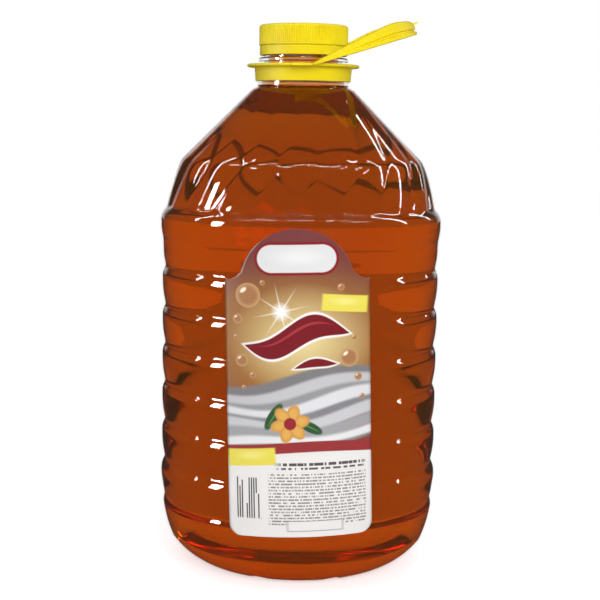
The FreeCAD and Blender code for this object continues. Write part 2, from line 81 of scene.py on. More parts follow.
LOBE_TURN = 24.0
LOBE_PHASE = -72.6
RIBS = 8
RIB_RADIUS = 7.0
RIB_SINK = 3.4
NECK_FOOT = 26.8
SKIN_TOP = (27.0, 284.55)


def arc(start, end, radius, count):
    """Points on an arc that bulges to the right of the way from start to end."""
    start, end = Vector(start), Vector(end)
    half = (end - start) / 2
    rise = math.sqrt(radius ** 2 - half.length ** 2)
    left = Vector((-half.y, half.x)).normalized()
    centre = start + half + left * rise
    first = math.atan2(start.y - centre.y, start.x - centre.x)
    sweep = 2 * math.asin(half.length / radius)
    points = []
    for number in range(count + 1):
        angle = first + sweep * number / count
        points.append((centre.x + radius * math.cos(angle), centre.y + radius * math.sin(angle)))
    return points


def larger(one, other, blend):
    """The larger of two numbers, rounded where they cross."""
    near = max(blend - abs(one - other), 0.0) / blend
    return max(one, other) + near * near * blend / 4


def along(line, place):
    """Value at a place on a line of (place, value)."""
    for (low, start), (high, end) in zip(line, line[1:]):
        if place <= high:
            share = max(0.0, (place - low) / (high - low))
            return start + (end - start) * share
    return line[-1][1]


def body_reach(height):
    """Radius of the hooped body."""
    spread = (-1.0, -0.5, 0.0, 0.5, 1.0)
    reach = sum(along(BODY_LINE, height + BODY_ROUNDING * part) for part in spread) / len(spread)
    for groove in GROOVES:
        above = height - groove
        if -2 * GROOVE_FLANK < above < 2 * GROOVE_TAPER:
            slope = GROOVE_TAPER if above > 0 else -GROOVE_FLANK
            notch = BODY_RADIUS - GROOVE_DEPTH + larger(0.12, GROOVE_DEPTH * above / slope, 0.5)
            reach = -larger(-reach, -notch, 1.3)
    return reach


def swirl_reach(height, share):
    """Radius of the lobed shoulder, share of the way across a lobe."""
    if height >= CONE[1]:
        down = (FLARE[1] - height) / (FLARE[1] - CONE[1])
        reach = FLARE[0] + (CONE[0] - FLARE[0]) * down
        depth = LOBE_DEPTH * max(0.0, down) ** 2
    else:
        first = 2 * (CONE[1] - BEND[1])
        second = CONE[1] - 2 * BEND[1] + FOOT[1]
        under = first * first - 4 * second * (CONE[1] - height)
        t = (first - math.sqrt(under)) / (2 * second)
        reach = CONE[0] * (1 - t) ** 2 + 2 * BEND[0] * t * (1 - t) + FOOT[0] * t ** 2
        depth = LOBE_DEPTH
    return reach - depth * (2 * share - 1) ** 2


def lobe_turn(height):
    """Angle in degrees by which the lobes have turned at a height."""
    down = (FLARE[1] - height) / (FLARE[1] - FOOT[1])
    down = min(1.0, max(0.0, down))
    return LOBE_PHASE - LOBE_TURN * (down + down * down) / 2


def turned(line, steps, closed=False):
    """Surface of a line of (radius, height) turned about the axis."""
    bm = bmesh.new()
    marks = [bm.verts.new((reach, 0, height)) for reach, height in line]
    pairs = list(zip(marks, marks[1:]))
    if closed:
        pairs.append((marks[-1], marks[0]))
    edges = [bm.edges.new(pair) for pair in pairs]
    bmesh.ops.spin(bm, geom=marks + edges, cent=(0, 0, 0), axis=(0, 0, 1),
                   angle=math.tau, steps=steps, use_merge=True)
    bmesh.ops.remove_doubles(bm, verts=bm.verts, dist=0.0005)
    bmesh.ops.recalc_face_normals(bm, faces=bm.faces)
    return bm


def bottle_form(neck):
    """Outside of the bottle from the base up, then along the neck, as one open surface."""
    line = [(0.0, PUSH_UP), (6.0, PUSH_UP), (PUSH_UP_FLAT, PUSH_UP - 0.2)]
    for number in range(1, 14):
        share = number / 14
        line.append((PUSH_UP_FLAT + (FOOT_INNER - PUSH_UP_FLAT) * share, PUSH_UP * (1 - share)))
    line += [(FOOT_INNER, 0.1), (FOOT_INNER + 1.5, 0.0), (FOOT_OUTER - 1.5, 0.0)]
    line += arc(*HEEL, 16)[:-1] + arc(*HEEL_TOP, 6)[:-1]
    heights = [36.0]
    for groove in GROOVES:
        heights += [groove + row for row in GROOVE_ROWS if groove + row > 36.5]
    heights += [195.5, 198.0, 199.6, 200.8, 202.2, 203.8]
    line += [(body_reach(height), height) for height in heights]
    height = RIM_TOP
    while height < FLARE[1] - 0.5:
        line.append((swirl_reach(height, 0.5), height))
        height += 0.9 if height < 216 else 1.7
    line += [FLARE] + list(neck)
    bm = turned(line, COLUMNS)
    ledge = [(height, reach) for reach, height in arc(*LEDGE, 12)]
    for vert in bm.verts:
        reach = math.hypot(vert.co.x, vert.co.y)
        height = vert.co.z
        if reach < 0.01:
            continue
        angle = math.degrees(math.atan2(vert.co.y, vert.co.x))
        share = (angle * LOBES / 360) % 1.0
        if RIM_TOP <= height < FLARE[1]:
            reach = swirl_reach(height, share)
            if height <= LEDGE[1][1]:
                reach = larger(reach, along(ledge, height), 0.8)
        swirled = math.radians(angle + lobe_turn(height))
        vert.co.x = reach * math.cos(swirled)
        vert.co.y = reach * math.sin(swirled)
        if height < 2 * RIB_SINK:
            pitch = math.tau / RIBS
            off = (swirled / pitch) % 1.0 - 0.5
            aside = reach * abs(math.sin(off * pitch))
            if aside < RIB_RADIUS:
                crown = RIB_SINK - RIB_RADIUS + math.sqrt(RIB_RADIUS ** 2 - aside ** 2)
                vert.co.z = larger(height, crown, 0.8)
    return bm


def finished(bm, name, material, sharp=35.0):
    """The mesh as an object in metres, shaded smooth but for its sharp edges."""
    bmesh.ops.scale(bm, vec=(MM, MM, MM), verts=bm.verts)
    mesh = bpy.data.meshes.new(name)
    bm.to_mesh(mesh)
    bm.free()
    mesh.shade_smooth()
    mesh.set_sharp_from_angle(angle=math.radians(sharp))
    mesh.materials.append(material)
    piece = bpy.data.objects.new(name, mesh)
    bpy.context.scene.collection.objects.link(piece)
    return piece


def linear(code):
    """An sRGB hex colour as linear light."""
    parts = [int(code[place:place + 2], 16) / 255 for place in (1, 3, 5)]
    return [part / 12.92 if part <= 0.04045 else ((part + 0.055) / 1.055) ** 2.4
            for part in parts] + [1.0]


def new_material(name):
    """An empty material and its output node."""
    material = bpy.data.materials.new(name)
    material.use_nodes = True
    material.node_tree.nodes.clear()
    return material, material.node_tree, material.node_tree.nodes.new("ShaderNodeOutputMaterial")


def add(tree, kind, inputs=(), settings=(), **values):
    """Adds a node. An input takes a socket or a value; settings are the node's own."""
    node = tree.nodes.new(kind)
    for key, value in dict(settings).items():
        setattr(node, key, value)
    for key, value in values.items():
        node.inputs[key.replace("_", " ")].default_value = value
    for key, value in dict(inputs).items():
        if isinstance(value, bpy.types.NodeSocket):
            tree.links.new(value, node.inputs[key])
        else:
            node.inputs[key].default_value = value
    return node


# Clear PET film: shows what lies behind it and mirrors the lights, more so at a
# glancing angle. Its gloss is near perfect, with a faint waviness from blowing.
pet_film, tree, output = new_material("clear_pet_film")
place = add(tree, "ShaderNodeTexCoord")
waves = add(tree, "ShaderNodeTexNoise", {"Vector": place.outputs["Object"]},
            Scale=70.0, Detail=2.0, Roughness=0.5)
ripple = add(tree, "ShaderNodeBump", {"Height": waves.outputs["Fac"]},
             Strength=0.1, Distance=0.0004)
tilt = add(tree, "ShaderNodeLayerWeight", {"Normal": ripple.outputs["Normal"]}, Blend=0.5)
fall = add(tree, "ShaderNodeMath", {0: tilt.outputs["Facing"], 1: 4.5}, {"operation": "POWER"})
share = add(tree, "ShaderNodeMath", {0: fall.outputs[0], 1: 0.15, 2: 0.035},
            {"operation": "MULTIPLY_ADD"})
gloss = add(tree, "ShaderNodeBsdfGlossy", {"Normal": ripple.outputs["Normal"]},
            Color=(1, 1, 1, 1), Roughness=0.01)
clear = add(tree, "ShaderNodeBsdfTransparent", Color=(0.97, 0.97, 0.965, 1))
film = add(tree, "ShaderNodeMixShader",
           {0: share.outputs[0], 1: clear.outputs[0], 2: gloss.outputs[0]})
tree.links.new(film.outputs[0], output.inputs["Surface"])

bottle_skin = finished(bottle_form([SKIN_TOP]), "bottle_skin", pet_film)
thickness = bottle_skin.modifiers.new("wall", "SOLIDIFY")
thickness.thickness = WALL * MM
thickness.offset = -1
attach(bottle_skin, "bottle")
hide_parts("bottle")


# Neck finish
# The injection-moulded end of the preform: thick clear PET with a support ring,
# the bead that holds the tamper band, and a three-start thread.

BORE = 20.75
NECK_RADIUS = 22.9
NECK_TOP = 316.8
FINISH = 22.5
THREAD_LEAD = 12.0
THREAD_STARTS = 3
THREAD_RISE = 1.3
THREAD_BOTTOM = 307.2
THREAD_TOP = 315.5
THREAD_RUNOUT = 1.2
THREAD_HALF = 1.15
THREAD_FLANK = 0.6
NECK_LINE = [
    (BORE, 290.9), (24.65, 287.1), (24.65, 285.0), (26.2, 284.35), (NECK_FOOT, 284.8),
    (NECK_FOOT, 288.0), (23.3, 291.4), (NECK_RADIUS, 292.2), (NECK_RADIUS, 298.5),
    (25.95, 298.5), (26.25, 298.8), (26.25, 300.4), (25.75, 300.9), (FINISH, 300.9),
    (FINISH, 303.9), (24.2, 304.2), (24.2, 304.8), (FINISH, 305.9),
]
NECK_STEPS = 180


def thread(height, angle, shift):
    """How much of a thread's ridge stands at a place, from 0 to 1."""
    pitch = THREAD_LEAD / THREAD_STARTS
    phase = (height - THREAD_LEAD * angle / math.tau) / pitch + shift
    off = abs((phase + 0.5) % 1.0 - 0.5) * pitch
    fade = min(1.0, max(0.0, (height - THREAD_BOTTOM) / THREAD_RUNOUT),
               max(0.0, (THREAD_TOP - height) / THREAD_RUNOUT))
    return max(0.0, min(1.0, (THREAD_HALF - off) / THREAD_FLANK)) * fade


# Moulded PET: thick and glass-clear, so it bends what lies behind it and has bright edges.
pet_solid, tree, output = new_material("clear_pet_moulded")
glass = add(tree, "ShaderNodeBsdfPrincipled", Base_Color=linear("#fbfbf8"), Roughness=0.04,
            IOR=1.57, Transmission_Weight=1.0)
tree.links.new(glass.outputs[0], output.inputs["Surface"])

line = list(NECK_LINE)
height = 306.3
while height < NECK_TOP - 0.5:
    line.append((FINISH, height))
    height += 0.4
line += [(FINISH, NECK_TOP - 0.4), (FINISH - 0.4, NECK_TOP), (BORE + 0.3, NECK_TOP),
         (BORE, NECK_TOP - 0.3)]
bm = turned(line, NECK_STEPS, closed=True)
for vert in bm.verts:
    reach = math.hypot(vert.co.x, vert.co.y)
    if 306.1 < vert.co.z < NECK_TOP - 0.6 and reach > FINISH - 0.1:
        ridge = thread(vert.co.z, math.atan2(vert.co.y, vert.co.x), 0.0)
        scale = (reach + THREAD_RISE * ridge) / reach
        vert.co.x *= scale
        vert.co.y *= scale
bottle_neck = finished(bm, "bottle_neck", pet_solid)
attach(bottle_neck, "bottle")
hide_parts("bottle")


# Dish soap
# Clear orange liquid that fills the bottle up into the neck. Its colour comes
# from its depth: deep amber through the middle, brighter where it is thin.

FILM = 0.05
FILL = 303.4
SOAP_NECK = [(26.3, 284.15), (24.55, 284.9), (24.55, 287.05), (20.65, 290.9),
             (20.65, 297.0), (20.65, FILL)]
SOAP_CLARITY = 0.95

# Liquid: smooth and clear, with a trace of haze; red passes furthest, blue hardly at all.
soap, tree, output = new_material("orange_dish_soap")
body = add(tree, "ShaderNodeBsdfPrincipled", Base_Color=linear("#ffb428"), Roughness=0.0,
           IOR=1.36, Transmission_Weight=SOAP_CLARITY)
depth = add(tree, "ShaderNodeVolumeAbsorption", Color=(0.875, 0.59, 0.03, 1), Density=36.0)
tree.links.new(body.outputs[0], output.inputs["Surface"])
tree.links.new(depth.outputs[0], output.inputs["Volume"])

bm = bottle_form(SOAP_NECK)
bm.normal_update()
for vert in bm.verts:
    if vert.co.z < SOAP_NECK[0][1] - 0.1:
        vert.co -= vert.normal * (WALL + FILM)
rim = [edge for edge in bm.edges if edge.is_boundary]
surface = bmesh.ops.contextual_create(bm, geom=rim)["faces"]
bmesh.ops.inset_region(bm, faces=surface, thickness=1.5, depth=-0.5, use_even_offset=True)
bmesh.ops.recalc_face_normals(bm, faces=bm.faces)
dish_soap = finished(bm, "dish_soap", soap)
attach(dish_soap, "bottle")
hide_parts("detergent")


# Screw cap
# Injection-moulded polyethylene in bright yellow: a shallow cup with 120 fine
# knurls, a plain lip under them and a soft edge round the top. Threaded inside.

CAP_RADIUS = 26.1
CAP_INNER = 24.6
CAP_BOTTOM = 307.9
CAP_CEILING = 318.3
CAP_TOP = 319.9
CAP_EDGE = 1.8
KNURLS = 120
KNURL_DEPTH = 0.45
KNURL_BOTTOM = 308.9
KNURL_TOP = 318.2

# Moulded polyethylene: a waxy, half-matt skin with a fine grain and a little light inside.
yellow, tree, output = new_material("moulded_yellow_polyethylene")
place = add(tree, "ShaderNodeTexCoord")
grain = add(tree, "ShaderNodeTexNoise", {"Vector": place.outputs["Object"]},
            Scale=1800.0, Detail=3.0, Roughness=0.6)
cloud = add(tree, "ShaderNodeTexNoise", {"Vector": place.outputs["Object"]},
            Scale=55.0, Detail=2.0, Roughness=0.5)
tint = add(tree, "ShaderNodeValToRGB", {"Fac": cloud.outputs["Fac"]})
tint.color_ramp.elements[0].position = 0.3
tint.color_ramp.elements[0].color = linear("#e6ce06")
tint.color_ramp.elements[1].position = 0.7
tint.color_ramp.elements[1].color = linear("#f0dd0c")
sheen = add(tree, "ShaderNodeMapRange", {"Value": cloud.outputs["Fac"]}, To_Min=0.5, To_Max=0.62)
skin = add(tree, "ShaderNodeBump", {"Height": grain.outputs["Fac"]}, Strength=0.25, Distance=0.00008)
plastic = add(tree, "ShaderNodeBsdfPrincipled",
              {"Base Color": tint.outputs["Color"], "Roughness": sheen.outputs[0],
               "Normal": skin.outputs["Normal"]},
              IOR=1.5, Specular_IOR_Level=0.3, Subsurface_Weight=0.1,
              Subsurface_Radius=(0.9, 0.7, 0.12), Subsurface_Scale=0.0008)
tree.links.new(plastic.outputs[0], output.inputs["Surface"])

line = [(0.0, CAP_CEILING), (CAP_INNER - 0.8, CAP_CEILING), (CAP_INNER, CAP_CEILING - 0.8)]
height = CAP_CEILING - 1.2
while height > CAP_BOTTOM + 0.4:
    line.append((CAP_INNER, height))
    height -= 0.4
line += [(CAP_INNER, CAP_BOTTOM + 0.3), (CAP_INNER + 0.25, CAP_BOTTOM),
         (CAP_RADIUS - 0.3, CAP_BOTTOM), (CAP_RADIUS, CAP_BOTTOM + 0.3),
         (CAP_RADIUS, KNURL_BOTTOM - 0.25), (CAP_RADIUS - 0.04, KNURL_BOTTOM),
         (CAP_RADIUS - 0.04, KNURL_BOTTOM + 0.3), (CAP_RADIUS - 0.04, (KNURL_BOTTOM + KNURL_TOP) / 2),
         (CAP_RADIUS - 0.04, KNURL_TOP - 0.2)]
line += arc((CAP_RADIUS, CAP_TOP - CAP_EDGE), (CAP_RADIUS - CAP_EDGE, CAP_TOP), CAP_EDGE, 8)
line += [(CAP_RADIUS - 5, CAP_TOP), (CAP_RADIUS - 8, CAP_TOP), (0.0, CAP_TOP)]
bm = turned(line, KNURLS * 4)
for vert in bm.verts:
    reach = math.hypot(vert.co.x, vert.co.y)
    if reach < 1:
        continue
    angle = math.atan2(vert.co.y, vert.co.x)
    step = round(angle / math.tau * KNURLS * 4) % 4
    move = 0.0
    if reach > CAP_RADIUS - 0.5 and KNURL_BOTTOM < vert.co.z < KNURL_TOP + 0.5:
        fade = min(1.0, (KNURL_TOP + 0.5 - vert.co.z) / 0.6, (vert.co.z - KNURL_BOTTOM) / 0.25)
        move = -(KNURL_DEPTH, 0.06, 0.0, 0.06)[step] * fade
    if abs(reach - CAP_INNER) < 0.05 and vert.co.z < CAP_CEILING - 1:
        move = -THREAD_RISE * thread(vert.co.z, angle, 0.5)
    vert.co.x *= (reach + move) / reach
    vert.co.y *= (reach + move) / reach
screw_cap = finished(bm, "screw_cap", yellow, 24.0)
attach(screw_cap, "cap")
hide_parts("cap")


# Cap liner
# A disc of white foamed polyethylene pressed into the cap, matt, with fine cells.

# Foamed polyethylene: matt, off-white, with cells under half a millimetre. The pit of each cell is
# painted a little darker, as painted shade.
foam, tree, output = new_material("white_foam_liner")
place = add(tree, "ShaderNodeTexCoord")
cells = add(tree, "ShaderNodeTexVoronoi", {"Vector": place.outputs["Object"]}, Scale=2200.0)
pores = add(tree, "ShaderNodeBump", {"Height": cells.outputs["Distance"]},
            Strength=0.4, Distance=0.0001)
# Painted shade: the colour darkens towards each cell's pit, where the bump sinks lowest.
pit_shade = add(tree, "ShaderNodeValToRGB", {"Fac": cells.outputs["Distance"]})
pit_shade.color_ramp.elements[0].color = linear("#d9d8d2")
pit_shade.color_ramp.elements[1].color = linear("#efeeea")
matt = add(tree, "ShaderNodeBsdfPrincipled",
           {"Base Color": pit_shade.outputs["Color"], "Normal": pores.outputs["Normal"]},
           Roughness=0.7, IOR=1.5)
tree.links.new(matt.outputs[0], output.inputs["Surface"])
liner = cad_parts["cap_liner"]
liner.data.materials.clear()
liner.data.materials.append(foam)


# Tamper band
# The yellow ring left on the neck when the cap is first opened. Moulded with the
# cap, a little narrower, with hooks inside that sit under the bead.

BAND_RADIUS = 25.65
BAND_TOP = 307.7
BAND_BOTTOM = 302.3

line = [
    (CAP_INNER, BAND_TOP), (CAP_INNER, 303.8), (22.9, 303.8), (22.9, 303.25),
    (CAP_INNER, 302.7), (CAP_INNER, BAND_BOTTOM), (BAND_RADIUS, BAND_BOTTOM),
    (BAND_RADIUS, BAND_TOP),
]
bm = turned(line, 160, closed=True)
tamper_ring = finished(bm, "tamper_ring", yellow)
edge = tamper_ring.modifiers.new("soft_edges", "BEVEL")
edge.width = 0.2 * MM
edge.segments = 2
edge.limit_method = "ANGLE"
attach(tamper_ring, "bottle")
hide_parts("tamper_band")


# Handle collar
# Yellow polyethylene ring snapped on under the support ring: a thin flange with
# a short skirt below. Two stubs on its edge carry the handle's hinges.

SWIVEL = 5.9
FLANGE_TOP = 297.1
FLANGE_BOTTOM = 295.3
HINGE_ALONG = 1.8
HINGE_HEIGHT = 296.2
HINGE_SLIT = 0.3
HINGE_WEB = 0.4
WEB_THICKNESS = 0.28
ARM_INNER = 33.3
ARM_WIDTH = 3.0
ROOT_LENGTH = 12.0
ROOT_HEIGHT = 1.6
ROOT_TAPER = 0.9

line = [(NECK_RADIUS + 0.4, FLANGE_TOP - 0.1), (NECK_RADIUS + 0.4, FLANGE_BOTTOM + 0.2),
        (NECK_RADIUS + 0.7, FLANGE_BOTTOM), (27.3, FLANGE_BOTTOM - 0.1), (27.65, FLANGE_BOTTOM - 0.7),
        (27.12, 287.5), (27.25, 287.2), (27.8, 287.2), (28.02, 287.45), (28.5, 293.6)]
line += reversed(arc((29.4, FLANGE_BOTTOM), (28.56, FLANGE_BOTTOM - 0.8), 0.85, 5))
line += [(32.4, FLANGE_BOTTOM + 0.05), (32.85, FLANGE_BOTTOM + 0.4), (33.0, FLANGE_BOTTOM + 0.8),
         (32.95, FLANGE_TOP - 0.5), (32.7, FLANGE_TOP - 0.15), (32.2, FLANGE_TOP),
         (NECK_RADIUS + 0.8, FLANGE_TOP)]
bm = turned(line, 180, closed=True)
ahead = HINGE_ALONG - HINGE_SLIT - ROOT_TAPER
for side in (-1, 1):
    made = bmesh.ops.create_cube(bm, size=1.0)["verts"]
    along_size = ROOT_LENGTH - HINGE_SLIT
    across_size = ARM_WIDTH + 2.0
    middle = (HINGE_ALONG - HINGE_SLIT - along_size / 2,
              side * (ARM_INNER + ARM_WIDTH - across_size / 2), HINGE_HEIGHT)
    bmesh.ops.scale(bm, vec=(along_size, across_size, ROOT_HEIGHT), verts=made)
    bmesh.ops.translate(bm, vec=middle, verts=made)
    end = [vert for vert in made if vert.co.x > middle[0]]
    bmesh.ops.scale(bm, vec=(1, ARM_WIDTH / across_size, HINGE_WEB / ROOT_HEIGHT), verts=end,
                    space=Matrix.Translation((0, -side * (ARM_INNER + ARM_WIDTH), -HINGE_HEIGHT)))
    bmesh.ops.bisect_plane(bm, geom=made + list({edge for vert in made for edge in vert.link_edges})
                           + list({face for vert in made for face in vert.link_faces}),
                           dist=0.0001, plane_co=(ahead, 0, 0), plane_no=(1, 0, 0))
for vert in bm.verts:
    if abs(vert.co.x - ahead) < 0.001 and abs(vert.co.y) > ARM_INNER - 2.1 and \
            abs(vert.co.z - HINGE_HEIGHT) < 0.79:
        vert.co.z = HINGE_HEIGHT + math.copysign(ROOT_HEIGHT / 2, vert.co.z - HINGE_HEIGHT)
bmesh.ops.rotate(bm, matrix=Matrix.Rotation(math.radians(SWIVEL), 3, "Z"), verts=bm.verts)
collar_ring = finished(bm, "collar_ring", yellow)
edge = collar_ring.modifiers.new("soft_edges", "BEVEL")
edge.width = 0.2 * MM
edge.segments = 2
edge.limit_method = "ANGLE"
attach(collar_ring, "collar")
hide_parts("handle_collar")


# Carrying handle
# A loop of the same yellow plastic, thin at its hinges and deep at its far end,
# with a ridge and a channel moulded round its outside to stiffen it, and a small
# tab at the end by which it is pulled off the flange.

BAIL_REACH = 66.5
BAIL_CORNER = 28.0
BAIL_TILT = 21.5
ARM_OUTER = ARM_INNER + ARM_WIDTH
BAIL_TOP = [(0.3, 0.2), (0.9, 0.8), (45.0, 5.7), (49.5, 5.95),
            (54.0, 5.5), (62.0, 3.7), (66.5, 2.2)]
BAIL_BOTTOM = [(0.3, -0.2), (0.9, -0.8), (69.5, -5.6)]
CHANNEL_FROM = 20.0
CHANNEL_FULL = 38.0
BAIL_SECTION = [
    # (across from the inner face, level from -1 at the bottom to 1 at the top, in the channel)
    (0.35, 1.0, 0), (1.2, 1.0, 0), (2.2, 0.86, 0), (2.75, 0.55, 0), (3.0, 0.2, 0),
    (2.95, -0.02, 0), (2.95, -0.14, 0), (2.9, -0.22, 1), (2.9, -0.44, 1),
    (3.0, -0.54, 0), (3.0, -0.9, 0), (2.7, -1.0, 0), (0.4, -1.0, 0), (0.0, -0.86, 0),
    (0.0, 0.86, 0),
]

swing = (Matrix.Rotation(math.radians(SWIVEL), 4, "Z")
         @ Matrix.Translation((HINGE_ALONG, 0, HINGE_HEIGHT))
         @ Matrix.Rotation(-math.radians(BAIL_TILT), 4, "Y"))

bm = bmesh.new()
cut = bm.verts.layers.float.new("channel")
level = bm.verts.layers.float.new("level")
ring = []
for across, height, channel in BAIL_SECTION:
    vert = bm.verts.new((HINGE_SLIT, -ARM_INNER - across, 0))
    vert[cut] = channel
    vert[level] = height
    ring.append(vert)
section = [bm.edges.new((one, other)) for one, other in zip(ring, ring[1:] + ring[:1])]
first_face = bm.faces.new(ring)
steps = [("go", Vector((length, 0, 0))) for length in [0.6] + [1.88] * 20]
steps += [("turn", Vector((BAIL_REACH - BAIL_CORNER, -ARM_OUTER + BAIL_CORNER, 0)))] * 16
steps += [("go", Vector((0, (ARM_OUTER - BAIL_CORNER) / 3, 0)))] * 6
steps += [("turn", Vector((BAIL_REACH - BAIL_CORNER, ARM_OUTER - BAIL_CORNER, 0)))] * 16
steps += [("go", Vector((-length, 0, 0))) for length in [1.88] * 20 + [0.6]]
for way, vector in steps:
    made = bmesh.ops.extrude_edge_only(bm, edges=section)["geom"]
    verts = [item for item in made if isinstance(item, bmesh.types.BMVert)]
    section = [item for item in made if isinstance(item, bmesh.types.BMEdge)]
    if way == "go":
        bmesh.ops.translate(bm, vec=vector, verts=verts)
    else:
        bmesh.ops.rotate(bm, cent=vector, matrix=Matrix.Rotation(math.radians(90 / 16), 3, "Z"),
                         verts=verts)
bmesh.ops.contextual_create(bm, geom=section)
for vert in bm.verts:
    top = along(BAIL_TOP, vert.co.x)
    bottom = along(BAIL_BOTTOM, vert.co.x)
    vert.co.z = (top + bottom) / 2 + (top - bottom) / 2 * vert[level]
    if vert[cut] > 0.5:
        share = (vert.co.x - CHANNEL_FROM) / (CHANNEL_FULL - CHANNEL_FROM)
        inwards = 1.0 * min(1.0, max(0.0, share))
        centre = Vector((min(vert.co.x, BAIL_REACH - BAIL_CORNER),
                         max(-ARM_OUTER + BAIL_CORNER, min(ARM_OUTER - BAIL_CORNER, vert.co.y)),
                         vert.co.z))
        way = (vert.co - centre).normalized()
        vert.co -= way * inwards
made = bmesh.ops.create_cube(bm, size=1.0)["verts"]
bmesh.ops.scale(bm, vec=(5.6, 5.0, 1.6), verts=made)
bmesh.ops.translate(bm, vec=(BAIL_REACH + 1.8, 0, 0.9), verts=made)
tips = [vert for vert in made if vert.co.x > BAIL_REACH + 1.8]
bmesh.ops.scale(bm, vec=(1, 0.72, 0.55), verts=tips, space=Matrix.Translation((0, 0, -1.2)))
made = bmesh.ops.create_cube(bm, size=1.0)["verts"]
bmesh.ops.scale(bm, vec=(2.2, 2.0, 1.5), verts=made)
bmesh.ops.translate(bm, vec=(BAIL_REACH + 0.5, 0, -0.6), verts=made)
bmesh.ops.recalc_face_normals(bm, faces=bm.faces)
bmesh.ops.transform(bm, matrix=swing, verts=bm.verts)
carrying_loop = finished(bm, "carrying_loop", yellow, 40.0)
edge = carrying_loop.modifiers.new("soft_edges", "BEVEL")
edge.width = 0.2 * MM
edge.segments = 2
edge.limit_method = "ANGLE"
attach(carrying_loop, "bail")
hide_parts("handle_bail")


# Hinge webs
# Two thin strips of the same plastic that join the collar's stubs to the handle, bent to the handle's
# tilt.

for name, side in (("hinge_web_front", -1), ("hinge_web_back", 1)):
    bm = bmesh.new()
    bmesh.ops.create_grid(bm, x_segments=6, y_segments=2, size=0.5)
    bmesh.ops.scale(bm, vec=(2 * HINGE_SLIT + 0.3, ARM_WIDTH - 0.2, 1), verts=bm.verts)
    bmesh.ops.translate(bm, vec=(0, side * (ARM_INNER + ARM_WIDTH / 2), -WEB_THICKNESS / 2),
                        verts=bm.verts)
    made = bmesh.ops.extrude_face_region(bm, geom=bm.faces[:])["geom"]
    bmesh.ops.translate(bm, vec=(0, 0, WEB_THICKNESS),
                        verts=[item for item in made if isinstance(item, bmesh.types.BMVert)])
    bmesh.ops.recalc_face_normals(bm, faces=bm.faces)
    for vert in bm.verts:
        bend = max(0.0, min(1.0, (vert.co.x + HINGE_SLIT) / (2 * HINGE_SLIT))) * BAIL_TILT
        middle = Vector((0, vert.co.y, 0))
        vert.co = Matrix.Rotation(-math.radians(bend), 3, "Y") @ (vert.co - middle) + middle
    frame_of_hinge = (Matrix.Rotation(math.radians(SWIVEL), 4, "Z")
                      @ Matrix.Translation((HINGE_ALONG, 0, HINGE_HEIGHT)))
    bmesh.ops.transform(bm, matrix=frame_of_hinge, verts=bm.verts)
    web = finished(bm, name, yellow)
    spot = Vector((0, side * (ARM_INNER + ARM_WIDTH / 2), 0))
    end = frame_of_hinge @ (spot + Vector((HINGE_SLIT, 0, 0))) * MM
    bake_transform(web)


# Front label
# White polypropylene film, printed and wrapped over the hoops: a domed head with
# two coves, round corners at the foot, and a satin lacquer over the print.

LABEL_THICKNESS = 0.15
LABEL_OUT = 0.25
LABEL_HALF = 39.8
LABEL_BOTTOM = 34.9
LABEL_SHOULDER = 178.3
LABEL_TOP = 206.4
DOME_RADIUS = 32.0
DOME_FOOT = 182.3
COVE_RADIUS = 9.0
COVE_CENTRE = (39.1, 187.3)
CORNER = 6.5
LABEL_SKEW = 1.7
LABEL_LINE = [(34.9, 81.2), (51.0, 82.8), (58.0, 82.8), (66.0, 82.3), (190.3, 82.3),
              (201.0, 83.2), (207.0, 83.2)]
LABEL_COLUMNS = 56
UV_SPAN = 210.0


def label_half(height):
    """Half the label's width at a height."""
    if height < LABEL_BOTTOM + CORNER:
        under = LABEL_BOTTOM + CORNER - height
        return LABEL_HALF - CORNER + math.sqrt(max(0.0, CORNER ** 2 - under ** 2))
    if height <= LABEL_SHOULDER:
        return LABEL_HALF
    if height < DOME_FOOT:
        above = height - COVE_CENTRE[1]
        return COVE_CENTRE[0] - math.sqrt(max(0.0, COVE_RADIUS ** 2 - above ** 2))
    above = height - (LABEL_TOP - DOME_RADIUS)
    return math.sqrt(max(0.0, DOME_RADIUS ** 2 - above ** 2))


heights = [LABEL_BOTTOM + CORNER * (1 - math.cos(math.pi / 2 * part / 8)) for part in range(9)]
heights += [heights[-1] + (LABEL_SHOULDER - heights[-1]) * part / 44 for part in range(1, 45)]
heights += [LABEL_SHOULDER + 0.02]
heights += [LABEL_SHOULDER + (DOME_FOOT - LABEL_SHOULDER) * (part / 10) ** 1.4
            for part in range(1, 11)]
heights += [DOME_FOOT + (LABEL_TOP - DOME_FOOT) * math.sin(math.pi / 2 * part / 16)
            for part in range(1, 17)]
bm = bmesh.new()
bmesh.ops.create_grid(bm, x_segments=LABEL_COLUMNS, y_segments=len(heights) - 1, size=1.0)
bm.verts.ensure_lookup_table()
flat = {}
skew = math.radians(LABEL_SKEW)
label_middle = (LABEL_TOP + LABEL_BOTTOM) / 2
for vert in bm.verts:
    row = round((vert.co.y + 1) / 2 * (len(heights) - 1))
    height = heights[row]
    aside = vert.co.x * max(label_half(height), 0.05)
    above = height - label_middle
    x = aside * math.cos(skew) - above * math.sin(skew)
    z = aside * math.sin(skew) + above * math.cos(skew) + label_middle
    reach = along(LABEL_LINE, z) + LABEL_OUT
    flat[vert] = (aside, height)
    vert.co = (x, -math.sqrt(reach ** 2 - x ** 2), z)
uv = bm.loops.layers.uv.new("print")
for face in bm.faces:
    for loop in face.loops:
        aside, height = flat[loop.vert]
        loop[uv].uv = (aside / UV_SPAN + 0.5, height / UV_SPAN)
bmesh.ops.recalc_face_normals(bm, faces=bm.faces)
if sum(face.normal.y for face in bm.faces) > 0:
    bmesh.ops.reverse_faces(bm, faces=bm.faces)

